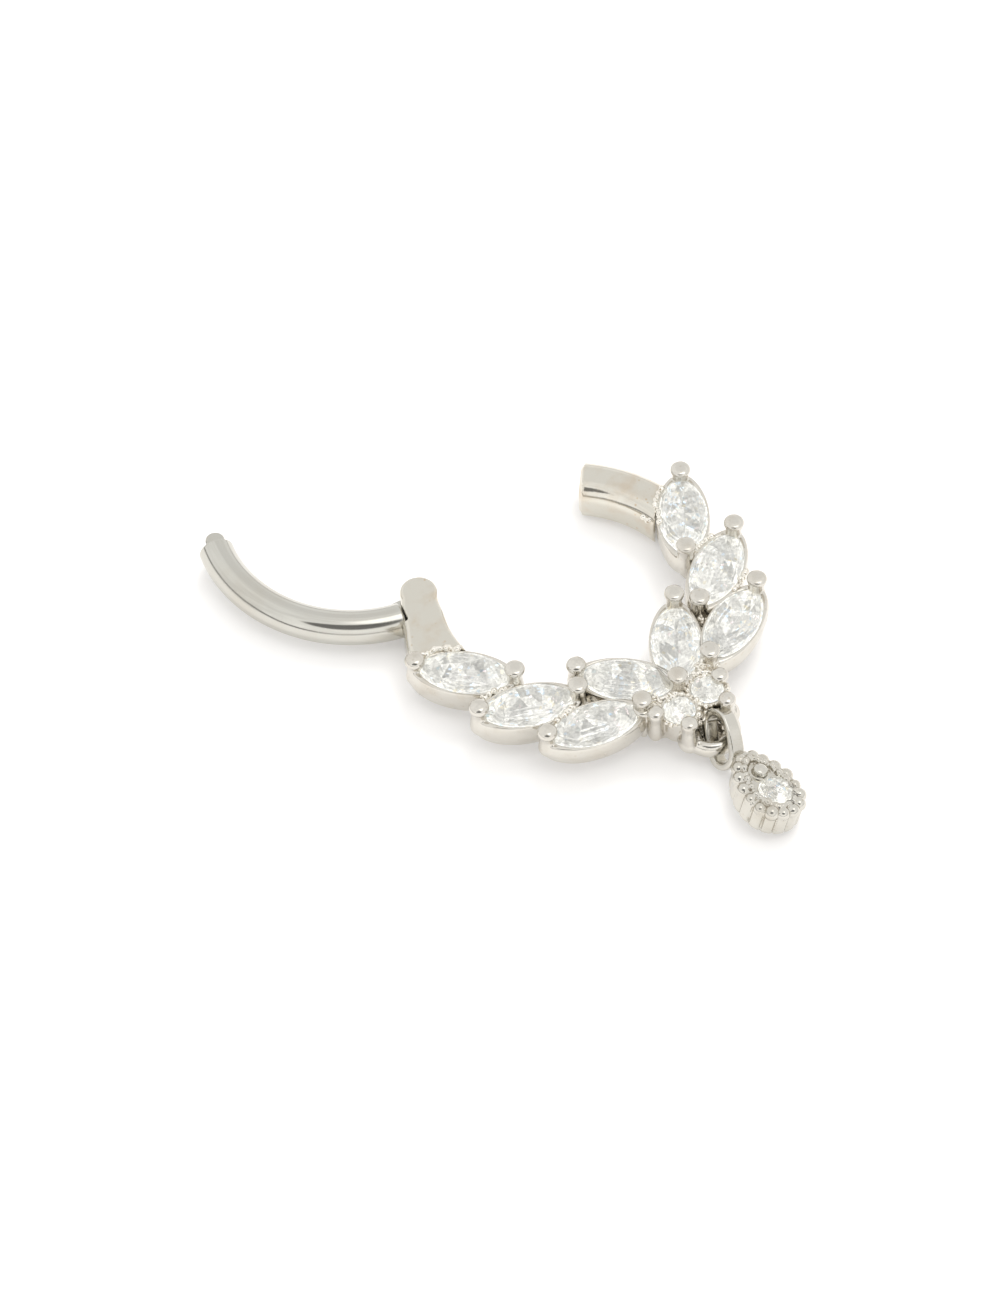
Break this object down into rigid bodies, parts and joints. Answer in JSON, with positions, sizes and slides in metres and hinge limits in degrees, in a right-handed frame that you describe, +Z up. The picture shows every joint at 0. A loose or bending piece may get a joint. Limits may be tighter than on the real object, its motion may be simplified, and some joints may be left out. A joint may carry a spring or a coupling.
{
  "type": "clicker_ring",
  "caption": "Polished metal clicker ring for a body piercing with two rows of clear marquise stones, a hinged curved bar swung open and a small pear drop",
  "frame": {"origin": "centre of the ring circle, on the surface the ring lies on", "axes": "+Z up, out of the stones' faces; -Y from the ring's centre towards the drop; +X towards the shoulder that catches the bar"},
  "size_m": [0.0147, 0.0217, 0.0023],
  "materials": {
    "metal": "polished cast and plated metal, warm pale grey",
    "clear_stone": "cut and polished clear stone"
  },
  "bodies": {
    "ring": {"ring_frame": "metal", "hinge_pin": "metal", "leaf_stone_left_1": "clear_stone", "leaf_stone_left_2": "clear_stone", "leaf_stone_left_3": "clear_stone", "leaf_stone_left_4": "clear_stone", "leaf_stone_right_1": "clear_stone", "leaf_stone_right_2": "clear_stone", "leaf_stone_right_3": "clear_stone", "leaf_stone_right_4": "clear_stone", "round_stone_left": "clear_stone", "round_stone_right": "clear_stone", "drop_setting": "metal", "drop_stone": "clear_stone"},
    "bar": {"clicker_bar": "metal"}
  },
  "joints": [
    {"name": "clicker_hinge", "type": "hinge", "parent": "ring", "child": "bar", "pos_m": [-0.00388, 0.00319, 0.00082], "axis": [0, 0, 1], "range_deg": [-117, 0]}
  ]
}
